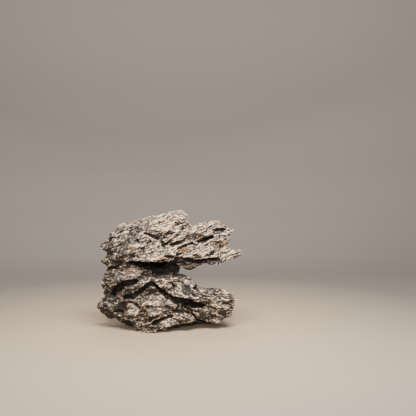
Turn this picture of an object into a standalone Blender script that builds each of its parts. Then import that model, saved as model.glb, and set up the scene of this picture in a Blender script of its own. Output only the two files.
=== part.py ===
"""A seiryu stone: one C-shaped piece of folded grey limestone, about 26 cm long.

An upper lobe overhangs a broader foot, and the two meet in a neck at the left. The stone is
built from angular blocks fused into one body, weathered along its beds, then opened by crevices.
Frame: metres, +Z up, -Y towards the viewer, origin under the middle of the stone on the surface
that it rests on.
"""

import math
import random

import bmesh
import bpy
from mathutils import Euler, Matrix, Vector, noise
from mathutils.bvhtree import BVHTree

MM = 0.001

# Driving dimensions, in millimetres
FUSE_VOXEL = 3.0
SKIN_VOXEL = 2.2
CREVICE_VOXEL = 1.6
MOST_TRIANGLES = 9600

# Each block is a boxy ellipsoid broken off at random corners.
CORNERS_PER_BLOCK = 26
BOXINESS = 4.0
CORNER_REACH = (0.9, 1.04)

# Blocks of the stone: name, centre, half sizes, then the tilt in degrees: towards the viewer,
# rising to the right, and turned seen from above.
UPPER_BLOCKS = (
    ("crown", (-8, 0, 172), (46, 32, 30), (38, 6, 0)),
    ("crown_face", (-2, -15, 163), (40, 36, 16), (52, 12, 0)),
    ("crown_corner", (13, 8, 185), (22, 22, 22), (20, 8, 0)),
    ("crown_back", (-20, 26, 168), (56, 34, 30), (10, 10, 0)),
    ("left_shoulder", (-68, 4, 157), (44, 38, 23), (30, 27, 10)),
    ("left_knob", (-101, 4, 143), (23, 30, 13), (20, 25, 10)),
    ("left_spur", (-104, -4, 118), (20, 20, 7), (0, 5, 10)),
    ("middle_front", (-36, -22, 142), (56, 32, 17), (30, 6, 0)),
    ("front_lip", (-28, -33, 130), (46, 18, 10), (20, 0, 0)),
    ("upper_core", (-20, 22, 140), (88, 36, 24), (8, 6, 0)),
    ("right_plate_top", (61, 14, 165), (40, 32, 14), (26, 14, 0)),
    ("right_plate_middle", (58, 4, 151), (62, 34, 13), (26, 12, 0)),
    ("plate_end", (86, -4, 150), (24, 22, 11), (40, 12, 0)),
    ("prow", (69, -12, 129), (65, 24, 9.5), (22, 0, -8)),
    ("prow_back", (46, 8, 136), (56, 30, 15), (10, 8, 0)),
    ("keel_root", (8, 12, 117), (30, 26, 17), (8, 4, 0)),
    ("keel", (38, 2, 113), (34, 22, 9), (16, 12, 14)),
)
NECK_BLOCKS = (
    ("neck", (-85, 2, 98), (25, 36, 36), (0, 0, 0)),
    ("neck_left", (-96, 0, 76), (24, 34, 27), (0, -6, 0)),
    ("neck_back", (-44, 34, 100), (60, 26, 34), (0, 0, 0)),
    ("throat_back", (-24, 42, 114), (42, 20, 24), (0, -4, 0)),
)
LOWER_BLOCKS = (
    ("throat_slope", (-64, -18, 95), (36, 38, 22), (30, -26, 0)),
    ("middle", (-34, -8, 56), (58, 44, 26), (10, 0, 0)),
    ("lower_lip", (-20, -28, 90), (36, 26, 12), (36, -8, 0)),
    ("hump", (19, -16, 60), (34, 33, 24), (14, -5, 0)),
    ("hump_top", (30, -12, 79), (22, 20, 12), (16, -11, 0)),
    ("lip_end", (4, -12, 85), (16, 18, 9), (14, -12, 0)),
    ("right_lobe", (76, -2, 38), (44, 38, 31), (-12, -6, 14)),
    ("left_cluster", (-98, 4, 36), (28, 36, 26), (0, 10, 0)),
    ("fold_face", (-32, -36, 46), (28, 20, 22), (20, 18, 0)),
    ("front_toe", (-6, -24, 16), (60, 28, 22), (-16, 8, 12)),
    ("base", (-14, 16, 12), (92, 42, 22), (0, 0, 16)),
    ("back_mass", (-24, 34, 44), (78, 28, 36), (-8, 0, 0)),
    ("fold_block", (-26, -50, 42), (20, 14, 20), (25, 22, -15)),
    ("low_block", (-61, -42, 38), (14, 14, 12), (-20, -12, 8)),
    ("white_knob", (14, -40, 55), (13, 12, 9), (15, -30, 0)),
    ("lobe_shelf", (76, -12, 60), (38, 20, 6), (14, -3, 10)),
    ("lobe_ledge", (82, -14, 24), (32, 20, 9), (36, 4, 14)),
    ("toe_block", (34, -34, 20), (18, 14, 11), (18, -20, 20)),
    ("toe_slab", (-24, -42, 14), (26, 14, 7), (12, 14, 5)),
)

# Crevices seen from the front: name, depth, then route points as x, z and half width.
CREVICES = (
    (
        "throat", 40,
        ((-68, 119, 3), (-50, 115, 6.5), (-36, 111, 9), (-22, 109, 10.5), (-8, 108, 11), (6, 105, 11.5),
         (19, 100, 8), (34, 95, 5)),
    ),
    ("neck_slit", 16, ((-120, 102, 3), (-106, 105, 4), (-92, 108, 4), (-84, 112, 2.5))),
    (
        "crescent", 28,
        ((-97, 57, 4), (-93, 66, 7), (-86, 74, 8.5), (-75, 81, 8.5), (-60, 85, 6), (-49, 87, 3)),
    ),
    (
        "left_band", 22,
        ((-78, 59, 3), (-60, 61, 6), (-46, 69, 6.5), (-37, 78, 6), (-29, 83, 6), (-18, 80, 4.6)),
    ),
    (
        "main_crevice", 28,
        ((-24, 83, 4.6), (-12, 70, 5.6), (0, 59, 6.5), (14, 53, 7.5), (30, 49, 8), (48, 44, 6.5),
         (66, 42, 3)),
    ),
    ("toe_crack", 15, ((8, 35, 3), (28, 34, 4), (42, 30, 4), (49, 20, 3.6), (54, 8, 3))),
    ("toe_slit", 18, ((-28, 14, 3), (-8, 22, 4.5), (10, 28, 3))),
    ("under_fold", 12, ((-98, 30, 3), (-86, 32, 4.4), (-75, 33.5, 3))),
    ("fold_line", 9, ((-69, 51, 3), (-58, 50, 3.8), (-49, 42, 3.8), (-44, 31, 3))),
    ("crown_left_edge", 13, ((-44, 168, 3), (-26, 163, 4.4), (-12, 154, 5), (-6, 140, 3.6))),
    ("crown_right_edge", 12, ((-6, 148, 3), (6, 156, 4.4), (18, 166, 4.4), (27, 178, 3))),
    ("upper_groove", 13, ((2, 147, 3), (20, 152, 4.6), (38, 159, 5), (56, 163, 3))),
    ("black_slit", 18, ((50, 150, 3), (65, 155.5, 4.4), (80, 161, 3.4))),
    ("plate_line", 11, ((2, 128, 3), (18, 131, 4.2), (38, 135, 3))),
    ("plate_notch", 10, ((14, 141, 3), (30, 146, 4), (44, 149.5, 3))),
    ("tip_groove", 12, ((60, 167, 3), (74, 170, 4.6), (88, 172, 4.4), (108, 172.5, 3.6))),
    ("keel_line", 16, ((-6, 131, 3), (12, 126, 4.6), (30, 121, 5.4), (48, 117, 5.2), (90, 125, 3))),
)
CREVICE_LEAD = 9.0
CREVICE_FOOT = 0.45

# Slabs standing out along the beds: tries, lowest, highest, then the ranges of half length and
# half thickness. They are small and close on the foot, and longer above.
SLAB_GROUPS = (
    (120, 86, 200, (13, 28), (3.5, 7.0)),
    (190, 14, 90, (8, 19), (3.0, 6.0)),
)
SLAB_SEED = 7
SLAB_LEAN = (-8.0, 22.0)
SLAB_OFF_BED = (-6.0, 6.0)
SLAB_TURN = (-40.0, 40.0)
SLAB_SINK = 0.7
SLAB_END_SINK = 0.25
SLAB_FARTHEST = 98.0
STEEPEST_UNDERSIDE = -0.35

# Weathering, in millimetres
WARP = 4.0
WARP_SPAN = 38.0
BED_THICKNESS = 9.0
BED_STEP = 6.8
BED_STEP_SPAN = 40.0
BED_SHIFT = 7.3
BED_GROOVE = 2.2
GROOVE_WIDTH = 2.0
CHIP_LENGTH = 21.0
CHIP_THICKNESS = 12.0
CHIP_DEPTH = 10.4
CHIP_SHIFT = 5.1
LUMP_RELIEF = 2.0
LUMP_SPAN = 13.0
EDGE_RELIEF = 1.1
EDGE_SPAN = 8.0
NOISE_ROUGHNESS = 0.8
NOISE_STEP = 2.0
FOLD_CREST = -22.0
FOLD_RISE = 26.0
FOLD_SPAN = 62.0
UPPER_DIP = 0.31
LOBE_SPLIT = (92.0, 112.0)

ROCK_COLOUR = (0.28, 0.25, 0.22, 1.0)
ROCK_ROUGHNESS = 0.9


def clear_scene():
    for obj in list(bpy.data.objects):
        bpy.data.objects.remove(obj, do_unlink=True)


def rock_material():
    material = bpy.data.materials.new("weathered limestone")
    material.use_nodes = True
    shader = material.node_tree.nodes["Principled BSDF"]
    shader.inputs["Base Color"].default_value = ROCK_COLOUR
    shader.inputs["Roughness"].default_value = ROCK_ROUGHNESS
    shader.inputs["Metallic"].default_value = 0.0
    return material


def linked(name, bm):
    """A new object in the scene that holds this bmesh."""
    mesh = bpy.data.meshes.new(name)
    bm.to_mesh(mesh)
    bm.free()
    obj = bpy.data.objects.new(name, mesh)
    bpy.context.scene.collection.objects.link(obj)
    return obj


def add_block(bm, name, centre, half, tilt):
    """One angular block: the hull of points scattered over a boxy ellipsoid."""
    dice = random.Random(name)
    corners = []
    for _ in range(CORNERS_PER_BLOCK):
        way = Vector([dice.gauss(0, 1) for _ in range(3)]).normalized()
        boxy = sum(abs(c) ** BOXINESS for c in way) ** (-1 / BOXINESS)
        reach = boxy * dice.uniform(*CORNER_REACH)
        corners.append(Vector([way[i] * reach * half[i] * MM for i in range(3)]))
    towards, rise, turn = (math.radians(angle) for angle in tilt)
    place = Matrix.Translation(Vector(centre) * MM) @ Euler((towards, -rise, turn)).to_matrix().to_4x4()
    made = [bm.verts.new(place @ corner) for corner in corners]
    hull = bmesh.ops.convex_hull(bm, input=made)
    bmesh.ops.delete(bm, geom=[g for g in hull["geom_interior"] if g.is_valid], context="VERTS")


def bed_dip(x, z):
    """How steeply the beds rise to the right, in degrees."""
    near = 1.0
    level_change = bed_level(x + near, z) - bed_level(x - near, z)
    return math.degrees(math.atan(-level_change / (2 * near)))


def surface_of(stone):
    bm = bmesh.new()
    bm.from_mesh(stone.data)
    surface = BVHTree.FromBMesh(bm)
    bm.free()
    return surface


def hit_from(surface, side, x, z):
    """Where a line along Y meets the stone: side is -1 from the front, 1 from the back."""
    start = Vector((x * MM, side, z * MM))
    return surface.ray_cast(start, Vector((0, -side, 0)))[:2]


def face_depth(surface, x, z):
    """Where the front face lies along Y, in millimetres; the middle plane where nothing is hit."""
    place = hit_from(surface, -1, x, z)[0]
    return place.y / MM if place else 0.0


def add_slabs(stone):
    """Angular slabs half sunk in the front and the back, each lying along its bed."""
    surface = surface_of(stone)
    dice = random.Random(SLAB_SEED)
    slabs = bmesh.new()
    slabs.from_mesh(stone.data)
    for tries, lowest, highest, lengths, thicknesses in SLAB_GROUPS:
        for number in range(tries):
            side = dice.choice((-1, -1, 1))
            x, z = dice.uniform(-SLAB_FARTHEST, SLAB_FARTHEST), dice.uniform(lowest, highest)
            half = Vector((dice.uniform(*lengths), dice.uniform(*lengths), dice.uniform(*thicknesses)))
            rise = bed_dip(x, z) + dice.uniform(*SLAB_OFF_BED)
            tilt = (dice.uniform(*SLAB_LEAN), rise, dice.uniform(*SLAB_TURN))
            place, normal = hit_from(surface, side, x, z)
            if not place or normal.z < STEEPEST_UNDERSIDE:
                continue
            reach = Vector([normal[i] * half[i] for i in range(3)]).length
            centre = place / MM - normal * reach * (SLAB_SINK + SLAB_END_SINK * abs(normal.x))
            add_block(slabs, f"slab {lowest} {number}", centre, half, tilt)
    slabs.to_mesh(stone.data)
    slabs.free()


def joined_blocks():
    bm = bmesh.new()
    for block in UPPER_BLOCKS + NECK_BLOCKS + LOWER_BLOCKS:
        add_block(bm, *block)
    return bm


def apply_modifiers(obj):
    graph = bpy.context.evaluated_depsgraph_get()
    done = bpy.data.meshes.new_from_object(obj.evaluated_get(graph))
    obj.modifiers.clear()
    obj.data = done


def fuse(obj, voxel):
    """Makes all that overlaps one even skin."""
    remesh = obj.modifiers.new("fuse", "REMESH")
    remesh.mode = "VOXEL"
    remesh.voxel_size = voxel * MM
    apply_modifiers(obj)


def add_crevice(bm, surface, depth, route):
    """A wedge along the route, from in front of the stone's face to depth behind it."""
    rings = []
    for i, (x, z, half) in enumerate(route):
        before, after = route[max(i - 1, 0)], route[min(i + 1, len(route) - 1)]
        along = Vector((after[0] - before[0], after[1] - before[1])).normalized()
        across = Vector((-along.y, 0, along.x)) * half
        faces = [face_depth(surface, x + across.x * side, z + across.z * side) for side in (0, 1, -1)]
        across *= MM
        front = Vector((x, min(faces) - CREVICE_LEAD, z)) * MM
        foot = Vector((x, faces[0] + depth, z)) * MM
        inner = across * CREVICE_FOOT
        corners = (front - across, front + across, foot + inner, foot - inner)
        rings.append([bm.verts.new(corner) for corner in corners])
    for ring, following in zip(rings, rings[1:]):
        for i in range(4):
            bm.faces.new((ring[i], ring[(i + 1) % 4], following[(i + 1) % 4], following[i]))
    bm.faces.new(reversed(rings[0]))
    bm.faces.new(rings[-1])


def open_crevices(stone):
    surface = surface_of(stone)
    cuts = bmesh.new()
    for _, depth, route in CREVICES:
        add_crevice(cuts, surface, depth, route)
    bmesh.ops.recalc_face_normals(cuts, faces=cuts.faces)
    cutter = linked("crevices", cuts)
    cutter.hide_render = True
    cutter.display_type = "WIRE"
    cut = stone.modifiers.new("crevices", "BOOLEAN")
    cut.operation = "DIFFERENCE"
    cut.solver = "EXACT"
    cut.object = cutter
    cut.use_self = True
    apply_modifiers(stone)


def smoothstep(low, high, value):
    share = min(max((value - low) / (high - low), 0.0), 1.0)
    return share * share * (3 - 2 * share)


def bed_level(x, z):
    """Height in the stack of beds: they rise to the right above, and arch over a fold below."""
    upper = z - UPPER_DIP * x
    lower = z - FOLD_RISE * math.exp(-(((x - FOLD_CREST) / FOLD_SPAN) ** 2))
    share = smoothstep(*LOBE_SPLIT, z)
    return upper * share + lower * (1 - share)


def ledge(place, level):
    """Hard beds stand out, soft ones lie back, and the joints between them are grooves."""
    bed = math.floor(level / BED_THICKNESS)
    along = Vector((bed * BED_SHIFT, place.x / BED_STEP_SPAN, place.y / BED_STEP_SPAN))
    step = noise.noise(along) * BED_STEP
    to_joint = abs(level - round(level / BED_THICKNESS) * BED_THICKNESS)
    return step - BED_GROOVE * math.exp(-((to_joint / GROOVE_WIDTH) ** 2))


def chip(place, level):
    """Fracture faces: each cell of rock, flattened along the beds, is tilted its own way."""
    along = Vector((place.x / CHIP_LENGTH, place.y / CHIP_LENGTH, level / CHIP_THICKNESS))
    centre = noise.voronoi(along)[1][0]
    tilt = noise.cell_vector(centre * CHIP_SHIFT) * 2 - Vector((1, 1, 1))
    return (along - centre).dot(tilt) * CHIP_DEPTH


def lump(place, span, octaves):
    return noise.fractal(place / span, NOISE_ROUGHNESS, NOISE_STEP, octaves)


def weather(stone):
    """Ledges and chips along the beds, and lumps straight out of the face."""
    mesh = stone.data
    normals = [vertex.normal.copy() for vertex in mesh.vertices]
    for vertex, normal in zip(mesh.vertices, normals):
        place = vertex.co / MM
        level = bed_level(place.x, place.z) + noise.noise(place / WARP_SPAN) * WARP
        sideways = Vector((normal.x, normal.y, 0)) * (ledge(place, level) + chip(place, level))
        vertex.co += (sideways + normal * lump(place, LUMP_SPAN, 3) * LUMP_RELIEF) * MM
    mesh.update()


def roughen(stone):
    """Breaks up the straight walls of the crevices, and all other edges a little."""
    mesh = stone.data
    normals = [vertex.normal.copy() for vertex in mesh.vertices]
    for vertex, normal in zip(mesh.vertices, normals):
        vertex.co += normal * lump(vertex.co / MM, EDGE_SPAN, 2) * EDGE_RELIEF * MM
    mesh.update()


def drop_crumbs(stone):
    """Keeps the one body of stone; crumbs that the crevices cut free fall away."""
    bm = bmesh.new()
    bm.from_mesh(stone.data)
    left = set(bm.verts)
    bodies = []
    while left:
        body = set()
        reached = [left.pop()]
        while reached:
            vertex = reached.pop()
            body.add(vertex)
            for edge in vertex.link_edges:
                neighbour = edge.other_vert(vertex)
                if neighbour in left:
                    left.remove(neighbour)
                    reached.append(neighbour)
        bodies.append(body)
    bodies.sort(key=len)
    crumbs = [vertex for body in bodies[:-1] for vertex in body]
    bmesh.ops.delete(bm, geom=crumbs, context="VERTS")
    bm.to_mesh(stone.data)
    bm.free()


def thin_out(stone):
    stone.data.calc_loop_triangles()
    decimate = stone.modifiers.new("thin out", "DECIMATE")
    decimate.ratio = MOST_TRIANGLES / len(stone.data.loop_triangles)
    apply_modifiers(stone)


def cut_base(stone):
    """The flat face that the stone rests on, at height zero."""
    bm = bmesh.new()
    bm.from_mesh(stone.data)
    everything = bm.verts[:] + bm.edges[:] + bm.faces[:]
    cut = bmesh.ops.bisect_plane(
        bm, geom=everything, plane_co=(0, 0, 0), plane_no=(0, 0, -1), clear_outer=True
    )
    rim = [g for g in cut["geom_cut"] if isinstance(g, bmesh.types.BMEdge)]
    bmesh.ops.holes_fill(bm, edges=rim)
    bmesh.ops.triangulate(bm, faces=bm.faces[:])
    bm.to_mesh(stone.data)
    bm.free()


def centre_over_origin(stone):
    """Puts the middle of the stone's bounding box over the origin."""
    xs = [vertex.co.x for vertex in stone.data.vertices]
    ys = [vertex.co.y for vertex in stone.data.vertices]
    stone.data.transform(Matrix.Translation((-(min(xs) + max(xs)) / 2, -(min(ys) + max(ys)) / 2, 0)))


def main():
    clear_scene()
    stone = linked("seiryu_stone", joined_blocks())
    fuse(stone, FUSE_VOXEL)
    add_slabs(stone)
    fuse(stone, SKIN_VOXEL)
    weather(stone)
    fuse(stone, SKIN_VOXEL)
    open_crevices(stone)
    fuse(stone, CREVICE_VOXEL)
    drop_crumbs(stone)
    roughen(stone)
    thin_out(stone)
    cut_base(stone)
    centre_over_origin(stone)
    stone.data.materials.append(rock_material())


main()
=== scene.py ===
import math

import bmesh
import bpy
import numpy as np
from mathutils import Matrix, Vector, noise
from mathutils.bvhtree import BVHTree


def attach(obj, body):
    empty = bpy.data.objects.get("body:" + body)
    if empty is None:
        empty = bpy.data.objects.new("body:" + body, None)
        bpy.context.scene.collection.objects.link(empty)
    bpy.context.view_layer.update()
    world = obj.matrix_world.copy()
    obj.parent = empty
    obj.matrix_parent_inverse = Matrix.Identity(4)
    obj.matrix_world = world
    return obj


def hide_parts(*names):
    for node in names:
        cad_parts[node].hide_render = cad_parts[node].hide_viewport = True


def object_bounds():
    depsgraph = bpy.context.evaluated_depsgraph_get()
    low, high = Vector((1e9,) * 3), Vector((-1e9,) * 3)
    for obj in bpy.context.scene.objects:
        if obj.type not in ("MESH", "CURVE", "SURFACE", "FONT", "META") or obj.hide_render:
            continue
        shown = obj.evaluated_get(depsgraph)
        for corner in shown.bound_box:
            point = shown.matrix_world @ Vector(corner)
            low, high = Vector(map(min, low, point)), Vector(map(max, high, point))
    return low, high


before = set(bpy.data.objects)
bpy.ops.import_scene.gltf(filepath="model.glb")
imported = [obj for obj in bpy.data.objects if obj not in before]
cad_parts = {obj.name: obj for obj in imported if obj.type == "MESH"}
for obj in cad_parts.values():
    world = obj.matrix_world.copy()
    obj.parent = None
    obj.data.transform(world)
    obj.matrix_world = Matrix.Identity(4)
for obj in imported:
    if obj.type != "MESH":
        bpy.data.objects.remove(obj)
cad_low, cad_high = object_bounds()

# The crystals of the limestone, shared by every face of the stone: angular grains of two sizes,
# each with a tone of its own between 0 and 1.
FINE_CRYSTAL = 0.0022
COARSE_CRYSTAL = 0.0050
COARSE_SHARE = 0.3
grain = bpy.data.node_groups.new("limestone grain", "ShaderNodeTree")
grain.interface.new_socket("Coordinates", in_out="INPUT", socket_type="NodeSocketVector")
grain.interface.new_socket("Value", in_out="OUTPUT", socket_type="NodeSocketFloat")
entry = grain.nodes.new("NodeGroupInput")
leaving = grain.nodes.new("NodeGroupOutput")
both = grain.nodes.new("ShaderNodeMix")
both.inputs["Factor"].default_value = COARSE_SHARE
for socket, size in ((2, FINE_CRYSTAL), (3, COARSE_CRYSTAL)):
    crystals = grain.nodes.new("ShaderNodeTexVoronoi")
    crystals.inputs["Scale"].default_value = 1 / size
    grain.links.new(entry.outputs["Coordinates"], crystals.inputs["Vector"])
    crystal_tone = grain.nodes.new("ShaderNodeSeparateColor")
    grain.links.new(crystals.outputs["Color"], crystal_tone.inputs["Color"])
    grain.links.new(crystal_tone.outputs["Red"], both.inputs[socket])
grain.links.new(both.outputs[0], leaving.inputs["Value"])

# Thin white lines of calcite that healed old cracks. They run roughly along the beds and break
# off where the rock has weathered away.
VEIN_BENDS = 15.0
VEIN_BREAKS = 48.0
VEIN_MIDDLE = 0.5
VEIN_CORE = 0.002
VEIN_EDGE = 0.009
VEIN_GONE = 0.48
VEIN_WHOLE = 0.56


def noisy(vector, scale, detail, roughness):
    """A cloudy value between 0 and 1."""
    tree = vector.id_data
    made = tree.nodes.new("ShaderNodeTexNoise")
    made.inputs["Scale"].default_value = scale
    made.inputs["Detail"].default_value = detail
    made.inputs["Roughness"].default_value = roughness
    tree.links.new(vector, made.inputs["Vector"])
    return made.outputs["Fac"]


def ranged(source, low, high, to_low=0.0, to_high=1.0):
    """A value moved from one range to another, and held at its ends."""
    tree = source.id_data
    made = tree.nodes.new("ShaderNodeMapRange")
    made.inputs["From Min"].default_value = low
    made.inputs["From Max"].default_value = high
    made.inputs["To Min"].default_value = to_low
    made.inputs["To Max"].default_value = to_high
    tree.links.new(source, made.inputs["Value"])
    return made.outputs["Result"]


def off_middle(source, middle):
    """How far a value is from a middle, on either side."""
    tree = source.id_data
    less = tree.nodes.new("ShaderNodeMath")
    less.operation = "SUBTRACT"
    less.inputs[1].default_value = middle
    tree.links.new(source, less.inputs[0])
    unsigned = tree.nodes.new("ShaderNodeMath")
    unsigned.operation = "ABSOLUTE"
    tree.links.new(less.outputs[0], unsigned.inputs[0])
    return unsigned.outputs[0]


def product(first, second):
    """One mask cut down by another."""
    tree = first.id_data
    made = tree.nodes.new("ShaderNodeMath")
    made.operation = "MULTIPLY"
    tree.links.new(first, made.inputs[0])
    tree.links.new(second, made.inputs[1])
    return made.outputs[0]


veins = bpy.data.node_groups.new("calcite veins", "ShaderNodeTree")
veins.interface.new_socket("Coordinates", in_out="INPUT", socket_type="NodeSocketVector")
veins.interface.new_socket("Mask", in_out="OUTPUT", socket_type="NodeSocketFloat")
entry = veins.nodes.new("NodeGroupInput")
leaving = veins.nodes.new("NodeGroupOutput")
bend = noisy(entry.outputs["Coordinates"], scale=VEIN_BENDS, detail=2.0, roughness=0.5)
thin = ranged(off_middle(bend, VEIN_MIDDLE), VEIN_CORE, VEIN_EDGE, 1.0, 0.0)
broken = noisy(entry.outputs["Coordinates"], scale=VEIN_BREAKS, detail=2.0, roughness=0.5)
stretches = ranged(broken, VEIN_GONE, VEIN_WHOLE)
veins.links.new(product(thin, stretches), leaving.inputs["Mask"])

# The stone: one piece of folded dark grey limestone, etched by rain into ledges, chipped faces
# and pits. Its fine relief is worked into an even skin laid over the solid, and never stands
# outside the solid's own box.
SKIN = 0.00125
SKIN_SMOOTHINGS = 3
SKIN_SMOOTHING = 0.5
SAME_POINT = 0.00001
MOST_TRIANGLES = 196000
FOOT = 0.0005
OFF_FACE = 0.0005
FREE = 0.012
# How far and which ways rays are cast from each point of the skin, up and to the front: the share
# of them that meets the stone is painted shade, darkening hollows, undersides and the mouth.
SHADE_REACH = 0.07
SHADE_RAYS = [
    Vector(way).normalized()
    for way in ((0, -0.5, 1), (0.6, -0.3, 1), (-0.6, -0.3, 1), (0, 0.4, 1), (0, -1.3, 0.7))
]
CREST_TURNS = 5
LEDGE_TURNS = 40
# The beds: how they rise and fold, how thick they are, how far the hard ones stand out and how
# wide the joints between them are. Their lengths are in millimetres.
MM = 1000
BED_RISE = 0.31
FOLD_HEIGHT = 26.0
FOLD_MIDDLE = -22.0
FOLD_WIDTH = 62.0
FOLD_TOP = 92.0
FOLD_FADE = 20.0
BED_WAVES = ((36, 6), (12, 1.6))
BED_THICKNESS = 4.6
BED_LENGTH = 30
BED_STEP = 1.6
BED_APART = 7.3
JOINT_LENGTH = 24
JOINT_WIDTH = 0.9
JOINT_APART = 3.9
JOINT_OPEN = 0.5
JOINT_CONTRAST = 3
PLATY_LEAST = 0.2
PLATY_MIDDLE = 0.6
PLATY_RUN = 110
PLATY_SPAN = 30
PLATY_SWING = 0.8
# What the weather has made of them: chips of three sizes, grit, crinkles, pits and cracks, with
# their spans and depths in millimetres. A shift keeps a pattern apart from the others.
DRIFT_SPAN = 14
DRIFT = 3.5
FLATTENED = 1.8
TILT_APART = 5.1
LARGE_CHIP = 13.0
LARGE_TILT = 2.2
SMALL_CHIP = 6.0
SMALL_TILT = 1.7
SMALL_SHIFT = Vector((3, 3, 3))
TINY_CHIP = 3.6
TINY_TILT = 0.7
TINY_SHIFT = Vector((5, 1, 2))
GRIT_SPAN = 4.0
GRIT_DEPTH = 0.4
GRIT_ROUGHNESS = 0.7
GRIT_STEP = 2.0
GRIT_LAYERS = 2
CRINKLE_SPAN = 8.0
CRINKLE_DEPTH = 1.8
CRINKLE_FLOOR = 0.2
CRINKLE_BEND_SPAN = 10
CRINKLE_BEND = 0.5
UNCRINKLED = 1.15
PITTED_SPAN = 24
PITTED_SHIFT = Vector((3, 1, 7))
PITTED_SHARE = 0.35
PITTED_PLATY = 0.3
PITTED_CONTRAST = 2.2
PIT_SPAN = 12.0
PIT_WIDTH = 0.33
PIT_DEPTH = 4.5
PIT_BEND_SPAN = 8
PIT_BEND = 0.3
CRACK_SPAN = 21
CRACK_SHIFT = Vector((9, 3, 5))
CRACK_WIDTH = 0.03
CRACK_DEPTH = 1.8
HOLLOW_DEPTH = 7.0
SETTLED = 0.5
LEVEL_SHARE = 0.35
FRONTWARD = 0.3
# Painted light and painted shade on the front, with some pale crust, in millimetres: pale patches
# light faces that the lamps leave in shade, dark ones paint shade into hollows, the mouth and
# under the beak. Each gives x, z, half width, half height, then how much paler or darker the rock
# is there.
LIGHT_AND_SHADE_PATCHES = (
    (1, 175, 17, 11, 0.34),  # face of the crown
    (18, 143, 15, 14, 0.38),  # face between the crown and the plates
    (-8, 126, 26, 6, 0.28),  # lip over the mouth
    (86, 140, 20, 10, 0.27),  # plates above the beak
    (-60, 103, 12, 10, 0.28),  # ridge of the neck
    (-60, 39, 10, 10, 0.42),  # low block
    (-46, 28, 25, 13, 0.28),  # front of the foot
    (15, 56, 9, 8, 0.22),  # white spot under the hump
    (12, 76, 9, 6, 0.22),  # left edge of the hump
    (-8, 63, 15, 6, 0.32),  # right flank of the fold
    (-8, 22, 13, 7, 0.26),  # face of the toe
    (-107, 149, 8, 8, -0.20),  # knob at the left end
    (-79, 138, 9, 8, -0.30),  # hollow of the shoulder
    (-61, 176, 11, 8, -0.24),  # knob on the shoulder
    (35, 161, 12, 4, -0.30),  # joint behind the crown
    (82, 171, 7, 5, -0.20),  # side of the top plate
    (73, 119, 24, 5, -0.50),  # underside of the beak
    (-10, 100, 22, 10, -0.34),  # inside of the mouth
    (34, 70, 12, 6, -0.40),  # hollow of the hump
)
noise.seed_set(2)
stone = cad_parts["seiryu_stone"].copy()
stone.data = stone.data.copy()
stone.name = "weathered_seiryu_stone"
stone.data.materials.clear()
bpy.context.scene.collection.objects.link(stone)
merged = bmesh.new()
merged.from_mesh(stone.data)
bmesh.ops.remove_doubles(merged, verts=merged.verts, dist=SAME_POINT)
merged.to_mesh(stone.data)
merged.free()
skin = stone.modifiers.new("skin", "REMESH")
skin.mode = "VOXEL"
skin.voxel_size = SKIN
even = stone.modifiers.new("even", "SMOOTH")
even.iterations = SKIN_SMOOTHINGS
even.factor = SKIN_SMOOTHING


def finished(piece):
    """The mesh of a piece with its modifiers worked in."""
    shown = piece.evaluated_get(bpy.context.evaluated_depsgraph_get())
    mesh = bpy.data.meshes.new_from_object(shown)
    piece.modifiers.clear()
    piece.data = mesh
    return mesh


shaped = finished(stone)

# Only the one body is kept: what joins up with its highest point. Loose crumbs of skin go.
crumbs = bmesh.new()
crumbs.from_mesh(shaped)
waiting = [max(crumbs.verts, key=lambda vertex: vertex.co.z)]
body = set(waiting)
while waiting:
    for edge in waiting.pop().link_edges:
        for vertex in edge.verts:
            if vertex not in body:
                body.add(vertex)
                waiting.append(vertex)
loose = [vertex for vertex in crumbs.verts if vertex not in body]
bmesh.ops.delete(crumbs, geom=loose, context="VERTS")
crumbs.to_mesh(shaped)
crumbs.free()


def bed_level(place):
    """Height in the stack of beds: rising to the right above, folded below, wavy throughout."""
    upper = place.z - BED_RISE * place.x
    lower = place.z - FOLD_HEIGHT * math.exp(-(((place.x - FOLD_MIDDLE) / FOLD_WIDTH) ** 2))
    share = min(max((place.z - FOLD_TOP) / FOLD_FADE, 0.0), 1.0)
    share = share * share * (3 - 2 * share)
    waves = sum(noise.noise(place / span) * height for span, height in BED_WAVES)
    return upper * share + lower * (1 - share) + waves


def strata(level, place):
    """How far the hard bed stands out, and how open the joint beside it is here."""
    bed = math.floor(level / BED_THICKNESS)
    ledge = noise.noise(Vector((bed * BED_APART, place.x / BED_LENGTH, place.y / BED_LENGTH)))
    joint = round(level / BED_THICKNESS)
    to_joint = abs(level / BED_THICKNESS - joint) * BED_THICKNESS
    along = Vector((joint * JOINT_APART, place.x / JOINT_LENGTH, place.y / JOINT_LENGTH))
    open_here = min(1.0, max(0.0, JOINT_OPEN + JOINT_CONTRAST * noise.noise(along)))
    return ledge, open_here * math.exp(-((to_joint / JOINT_WIDTH) ** 2))


def platiness(place):
    """How readily the rock splits along its beds here, up to 1: most of all at the right."""
    here = PLATY_MIDDLE + place.x / PLATY_RUN + noise.noise(place / PLATY_SPAN) * PLATY_SWING
    return min(1.0, max(PLATY_LEAST, here))


def facets(place, depth):
    """Fracture faces: each cell of rock is tilted its own way."""
    centre = noise.voronoi(place)[1][0]
    tilt = noise.cell_vector(centre * TILT_APART) * 2 - Vector((1, 1, 1))
    return (place - centre).dot(tilt) * depth


def crinkles(place, platy):
    """Grit and small folds, most of all where the rock splits least."""
    grit = noise.fractal(place / GRIT_SPAN, GRIT_ROUGHNESS, GRIT_STEP, GRIT_LAYERS) * GRIT_DEPTH
    bend = noise.noise_vector(place / CRINKLE_BEND_SPAN) * CRINKLE_BEND
    crinkle = abs(noise.noise(place / CRINKLE_SPAN + bend)) - CRINKLE_FLOOR
    return grit + crinkle * CRINKLE_DEPTH * (UNCRINKLED - platy)


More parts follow.
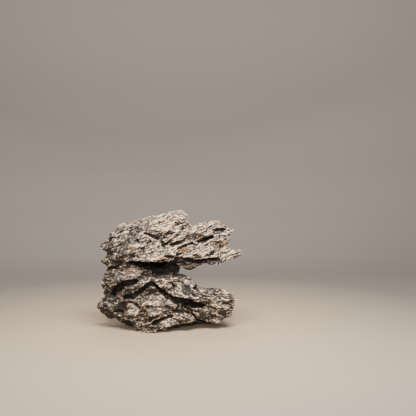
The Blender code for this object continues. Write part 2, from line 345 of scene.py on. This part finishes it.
def pit(place, platy):
    """Holes that the rain has etched, most of all where the rock splits least."""
    pitting = noise.noise(place / PITTED_SPAN + PITTED_SHIFT) + PITTED_SHARE - PITTED_PLATY * platy
    bend = noise.noise_vector(place / PIT_BEND_SPAN) * PIT_BEND
    to_middle = noise.voronoi(place / PIT_SPAN + bend)[0][0]
    full = min(1.0, max(0.0, pitting) * PITTED_CONTRAST)
    return -PIT_DEPTH * full * max(0.0, 1 - to_middle / PIT_WIDTH)


def crack(place):
    """Old cracks that cross the beds."""
    off_line = noise.noise(place / CRACK_SPAN + CRACK_SHIFT) / CRACK_WIDTH
    return -CRACK_DEPTH * math.exp(-(off_line**2))


def painted_patch_tone(place, drift):
    """How much painted light or painted shade, with some pale crust, the front gets here."""
    total = 0.0
    for x, z, half_width, half_height, change in LIGHT_AND_SHADE_PATCHES:
        off = ((place.x + drift.x - x) / half_width) ** 2
        off += ((place.z + drift.z - z) / half_height) ** 2
        total += change * math.exp(-off * off)
    return total


count = len(shaped.vertices)
at = np.empty(count * 3)
facing = np.empty(count * 3)
shaped.vertices.foreach_get("co", at)
shaped.vertices.foreach_get("normal", facing)
at = at.reshape(-1, 3)
facing = facing.reshape(-1, 3)
moved = at.copy()
beds = np.empty((count, 3))
painted_shade = np.zeros(count)
joints = np.zeros(count)
painted_light_and_shade = np.zeros(count)
solid = bmesh.new()
solid.from_mesh(shaped)
walls = BVHTree.FromBMesh(solid)
solid.free()
for i in range(count):
    place = Vector(at[i] * MM)
    level = bed_level(place)
    beds[i] = (place.x / MM, place.y / MM, level / MM)
    outward = Vector(facing[i])
    off_wall = Vector(at[i]) + outward * OFF_FACE
    covered = sum(walls.ray_cast(off_wall, way, SHADE_REACH)[0] is not None for way in SHADE_RAYS)
    painted_shade[i] = covered / len(SHADE_RAYS)
    if at[i][2] < FOOT:
        continue
    platy = platiness(place)
    drift = noise.noise_vector(place / DRIFT_SPAN) * DRIFT
    laid = Vector((place.x, place.y, level * FLATTENED)) + drift
    if outward.y < FRONTWARD and place.y < 0:
        painted_light_and_shade[i] = painted_patch_tone(place, drift)
    ledge, opening = strata(level, place)
    joints[i] = opening * platy
    chips = facets(laid / LARGE_CHIP, LARGE_TILT)
    chips += facets(laid / SMALL_CHIP + SMALL_SHIFT, SMALL_TILT)
    bedded = (ledge * BED_STEP - opening * BED_STEP) * platy + chips
    bedded += facets(laid / TINY_CHIP + TINY_SHIFT, TINY_TILT)
    standing = crinkles(place, platy) + pit(place, platy) + crack(place)
    standing += min(0.0, painted_light_and_shade[i]) * HOLLOW_DEPTH
    sideways = Vector((outward.x, outward.y, outward.z * LEVEL_SHARE))
    wall_gap = walls.ray_cast(off_wall, outward, FREE)[3]
    room = 1.0 if wall_gap is None else wall_gap / FREE
    moved[i] = (place + (sideways * bedded + outward * (standing - SETTLED)) * room) / MM
moved[:, 2] = np.maximum(moved[:, 2], 0.0)
moved = np.clip(moved, np.array(cad_low), np.array(cad_high))
shaped.vertices.foreach_set("co", moved.ravel())
shaped.update()


def keep(name, kind, values):
    """Keeps a value at each point of the stone, for its material."""
    held = shaped.attributes.new(name, kind, "POINT").data
    held.foreach_set("vector" if kind == "FLOAT_VECTOR" else "value", values)


# How far each point of the skin stands above or below the rock around it, at two spans. The pale
# crust and the dirt follow it; the finer span also paints highlights on the crests and shade in
# the pits.
ends = np.empty(len(shaped.edges) * 2, dtype=np.int64)
shaped.edges.foreach_get("vertices", ends)
ends = ends.reshape(-1, 2)
links = np.bincount(ends.ravel(), minlength=count)[:, None]
facing_now = np.empty(count * 3)
shaped.vertices.foreach_get("normal", facing_now)
facing_now = facing_now.reshape(-1, 3)
spread = moved.copy()
for turn in range(1, LEDGE_TURNS + 1):
    total = np.zeros((count, 3))
    np.add.at(total, ends[:, 0], spread[ends[:, 1]])
    np.add.at(total, ends[:, 1], spread[ends[:, 0]])
    spread = 0.5 * spread + 0.5 * total / links
    if turn in (CREST_TURNS, LEDGE_TURNS):
        stands = ((moved - spread) * facing_now).sum(axis=1)
        keep("crest" if turn == CREST_TURNS else "ledge", "FLOAT", stands * MM)
keep("beds", "FLOAT_VECTOR", beds.ravel())
keep("upward", "FLOAT", facing[:, 2].copy())
keep("painted_shade", "FLOAT", painted_shade)
keep("joints", "FLOAT", joints)
keep("painted_patches", "FLOAT", painted_light_and_shade)
thinner = stone.modifiers.new("thinner", "DECIMATE")
thinner.ratio = MOST_TRIANGLES / (2 * len(shaped.polygons))
shaped = finished(stone)
for vertex in shaped.vertices:
    vertex.co = [min(max(c, low), high) for c, low, high in zip(vertex.co, cad_low, cad_high)]
shaped.shade_smooth()

# Its colours, from the dirt in the joints and the painted shade up to the washed crust and the
# painted highlights, where the rock is bare and grey and where it is stained beige, and the white
# of its veins.
GREY_ROCK = (
    (0.05, (0.030, 0.029, 0.029)),
    (0.30, (0.095, 0.091, 0.088)),
    (0.55, (0.23, 0.205, 0.18)),
    (0.75, (0.47, 0.38, 0.30)),
    (0.95, (0.95, 0.76, 0.57)),
)
BEIGE_ROCK = (
    (0.05, (0.034, 0.030, 0.028)),
    (0.30, (0.115, 0.094, 0.076)),
    (0.55, (0.31, 0.235, 0.175)),
    (0.75, (0.64, 0.44, 0.30)),
    (0.95, (0.98, 0.73, 0.49)),
)
CALCITE = (0.74, 0.69, 0.62)
BARE_TONE = -1.14
PORES = 420.0
PORE_STRENGTH = 0.9
PORE_DEPTH = 0.0009
rock = bpy.data.materials.new("weathered limestone")
rock.use_nodes = True
nodes = rock.node_tree.nodes
wires = rock.node_tree.links.new
shader = nodes["Principled BSDF"]
shader.inputs["Roughness"].default_value = 0.88
shader.inputs["Specular IOR Level"].default_value = 0.25


def held(name, output="Fac"):
    """A value that was kept at each point of the stone."""
    made = nodes.new("ShaderNodeAttribute")
    made.attribute_name = name
    return made.outputs[output]


def stretched(vector, along, across):
    """Coordinates that draw a pattern out along the beds and press it flat across them."""
    made = nodes.new("ShaderNodeVectorMath")
    made.operation = "MULTIPLY"
    made.inputs[1].default_value = (along, along, across)
    wires(vector, made.inputs[0])
    return made.outputs[0]


def weighed(parts, start):
    """The sum of shares of several values, added to a starting value."""
    total = start
    for source, share in parts:
        made = nodes.new("ShaderNodeMath")
        made.operation = "MULTIPLY_ADD"
        made.inputs[1].default_value = share
        wires(source, made.inputs[0])
        if isinstance(total, float):
            made.inputs[2].default_value = total
        else:
            wires(total, made.inputs[2])
        total = made.outputs[0]
    return total


def ramp(source, stops):
    """The colour that belongs to a tone."""
    made = nodes.new("ShaderNodeValToRGB")
    points = made.color_ramp.elements
    while len(points) < len(stops):
        points.new(0.5)
    for point, (place, colour) in zip(points, stops):
        point.position = place
        point.color = (*colour, 1.0)
    wires(source, made.inputs["Fac"])
    return made.outputs["Color"]


def mixed(share, under, over):
    """Two colours mixed, each of them plain or one that changes over the surface."""
    tree = share.id_data
    made = tree.nodes.new("ShaderNodeMix")
    made.data_type = "RGBA"
    tree.links.new(share, made.inputs["Factor"])
    for socket, value in ((made.inputs[6], under), (made.inputs[7], over)):
        if isinstance(value, tuple):
            socket.default_value = (*value, 1.0)
        else:
            tree.links.new(value, socket)
    return made.outputs[2]


on_stone = nodes.new("ShaderNodeTexCoord").outputs["Object"]
along_beds = held("beds", "Vector")
shade_amount = held("painted_shade")
fine_beds = stretched(along_beds, along=0.48, across=1.4)
crystal = nodes.new("ShaderNodeGroup")
crystal.node_tree = grain
wires(fine_beds, crystal.inputs["Coordinates"])
mottled = noisy(fine_beds, scale=420.0, detail=2.0, roughness=0.6)
thin_beds = stretched(along_beds, along=0.32, across=1.7)
layered = noisy(thin_beds, scale=180.0, detail=3.0, roughness=0.6)
blotches = noisy(on_stone, scale=75.0, detail=3.0, roughness=0.6)
flakes = nodes.new("ShaderNodeTexVoronoi")
flakes.feature = "DISTANCE_TO_EDGE"
flakes.inputs["Scale"].default_value = 46.0
flakes.inputs["Detail"].default_value = 1.0
wires(stretched(along_beds, along=0.8, across=2.6), flakes.inputs["Vector"])
spot = nodes.new("ShaderNodeSeparateXYZ")
wires(on_stone, spot.inputs[0])
# What makes the rock paler or darker, over which range, and by how much.
tone = weighed((
    (crystal.outputs["Value"], 0.76),
    (ranged(mottled, 0.36, 0.64), 0.50),
    (ranged(layered, 0.38, 0.62), 0.40),
    (ranged(blotches, 0.35, 0.65), 0.12),
    # Crests paler and pits darker: pale crust, with painted highlights on the crests and painted
    # shade in the pits.
    (ranged(held("crest"), -0.6, 0.6), 0.66),
    (ranged(held("ledge"), -1.5, 2.5), 0.10),
    # Painted light: faces that look up are paler and undersides darker.
    (ranged(held("upward"), -0.5, 0.3), 0.08),
    # Painted light: paler towards the top of the stone and darker towards the bottom.
    (ranged(spot.outputs["Z"], 0.08, 0.14), 0.12),
    # Painted shade: darker towards the left side of the stone.
    (ranged(spot.outputs["X"], -0.11, 0.0), 0.24),
    # Painted shade in hollows, under overhangs and in the mouth, where those rays meet the stone.
    (ranged(shade_amount, 0.5, 0.8), -0.14),
    (ranged(shade_amount, 0.8, 1.0), -0.46),
    (ranged(flakes.outputs["Distance"], 0.01, 0.055, 1.0, 0.0), -0.40),
    # Painted light and painted shade on the front, with some pale crust.
    (held("painted_patches"), 1.0),
    (ranged(held("joints"), 0.05, 0.6), -0.46),
), BARE_TONE)
stained = ranged(noisy(on_stone, scale=100.0, detail=3.0, roughness=0.6), 0.43, 0.56)
colour = mixed(stained, ramp(tone, GREY_ROCK), ramp(tone, BEIGE_ROCK))
vein = nodes.new("ShaderNodeGroup")
vein.node_tree = veins
wires(along_beds, vein.inputs["Coordinates"])
# The white veins fade out where the painted shade falls.
veins_out_of_shade = ranged(shade_amount, 0.3, 0.7, 0.45, 0.0)
colour = mixed(product(vein.outputs["Mask"], veins_out_of_shade), colour, CALCITE)
wires(colour, shader.inputs["Base Color"])
bump = nodes.new("ShaderNodeBump")
bump.inputs["Strength"].default_value = PORE_STRENGTH
bump.inputs["Distance"].default_value = PORE_DEPTH
wires(noisy(on_stone, scale=PORES, detail=6.0, roughness=0.65), bump.inputs["Height"])
wires(bump.outputs["Normal"], shader.inputs["Normal"])
shaped.materials.append(rock)
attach(stone, "root")
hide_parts("seiryu_stone")

# A round floor of matt paper that curves up into a wall far behind, pale where the stone stands
# and greyer further off. It is one profile, spun round.
FLOOR_SIDES = 64
FLOOR_PROFILE = (
    (0.0, 0.0),
    (0.25, 0.0),
    (0.6, 0.0),
    (1.0, 0.0),
    (1.4, 0.02),
    (1.7, 0.12),
    (1.95, 0.35),
    (2.1, 0.75),
    (2.15, 1.6),
)
NEAR_PAPER = (0.46, 0.37, 0.275)
FAR_PAPER = (0.25, 0.23, 0.212)
sweep = bmesh.new()
profile = [sweep.verts.new((radius, 0, height)) for radius, height in FLOOR_PROFILE]
profile += [sweep.edges.new(pair) for pair in zip(profile, profile[1:])]
bmesh.ops.spin(
    sweep,
    geom=profile,
    cent=(0, 0, 0),
    axis=(0, 0, 1),
    angle=math.tau,
    steps=FLOOR_SIDES,
    use_merge=True,
)
bmesh.ops.remove_doubles(sweep, verts=sweep.verts, dist=SAME_POINT)
bmesh.ops.recalc_face_normals(sweep, faces=sweep.faces)
floor_mesh = bpy.data.meshes.new("floor")
sweep.to_mesh(floor_mesh)
sweep.free()
floor_mesh.shade_smooth()
floor = bpy.data.objects.new("floor", floor_mesh)
bpy.context.scene.collection.objects.link(floor)
paper = bpy.data.materials.new("pale paper")
paper.use_nodes = True
nodes = paper.node_tree.nodes
wires = paper.node_tree.links.new
shader = nodes["Principled BSDF"]
shader.inputs["Roughness"].default_value = 0.95
shader.inputs["Specular IOR Level"].default_value = 0.1
reach = nodes.new("ShaderNodeVectorMath")
reach.operation = "LENGTH"
wires(nodes.new("ShaderNodeTexCoord").outputs["Object"], reach.inputs[0])
away = ranged(reach.outputs["Value"], 0.2, 0.6)
wires(mixed(away, NEAR_PAPER, FAR_PAPER), shader.inputs["Base Color"])
floor_mesh.materials.append(paper)


# Four soft lamps: a long one overhead and a little in front, one for the wall, a broad one from
# the viewer's side and one from behind. Weak light comes from all round.
def soft_lamp(name, size, power, colour, place, towards=None):
    """A lamp of a size in metres and a power in watts. It faces a point, or else straight down."""
    lamp = bpy.data.lights.new(name, "AREA")
    lamp.shape = "RECTANGLE"
    lamp.size, lamp.size_y = size
    lamp.energy = power
    lamp.color = colour
    hung = bpy.data.objects.new(name, lamp)
    hung.location = place
    if towards is not None:
        aim = Vector(towards) - hung.location
        hung.rotation_euler = aim.to_track_quat("-Z", "Y").to_euler()
    bpy.context.scene.collection.objects.link(hung)


STONE_MIDDLE = (0, 0, 0.1)
WALL_MIDDLE = (0, 2.1, 1.1)
WARM_WHITE = (1.0, 0.92, 0.83)
WALL_WHITE = (1.0, 0.93, 0.86)
FILL_WHITE = (1.0, 0.95, 0.90)
soft_lamp("overhead", (0.7, 0.25), 17.5, WARM_WHITE, (0.13, -0.38, 0.80))
soft_lamp("wall wash", (1.6, 0.3), 24.0, WALL_WHITE, (0.0, 0.8, 1.3), WALL_MIDDLE)
soft_lamp("front fill", (1.2, 0.5), 22.0, FILL_WHITE, (0.1, -1.75, 0.6), STONE_MIDDLE)
soft_lamp("back fill", (1.2, 0.6), 16.0, FILL_WHITE, (-0.2, 1.4, 1.25), STONE_MIDDLE)
sky = bpy.data.worlds.new("studio")
sky.use_nodes = True
all_round = sky.node_tree.nodes["Background"]
all_round.inputs["Color"].default_value = (0.82, 0.77, 0.72, 1.0)
all_round.inputs["Strength"].default_value = 0.5
bpy.context.scene.world = sky

# The camera stands where the photographer stood: a little above the top of the stone, a metre
# away and a little to the right, looking down by less than two degrees.
CAMERA_PLACE = (0.0666, -1.0313, 0.243)
LOOKING_DOWN = 1.78
lens = bpy.data.cameras.new("camera")
lens.lens = 50.0
lens.sensor_width = 36.0
camera = bpy.data.objects.new("camera", lens)
camera.location = CAMERA_PLACE
camera.rotation_euler = (math.radians(90 - LOOKING_DOWN), 0, 0)
bpy.context.scene.collection.objects.link(camera)
bpy.context.scene.camera = camera
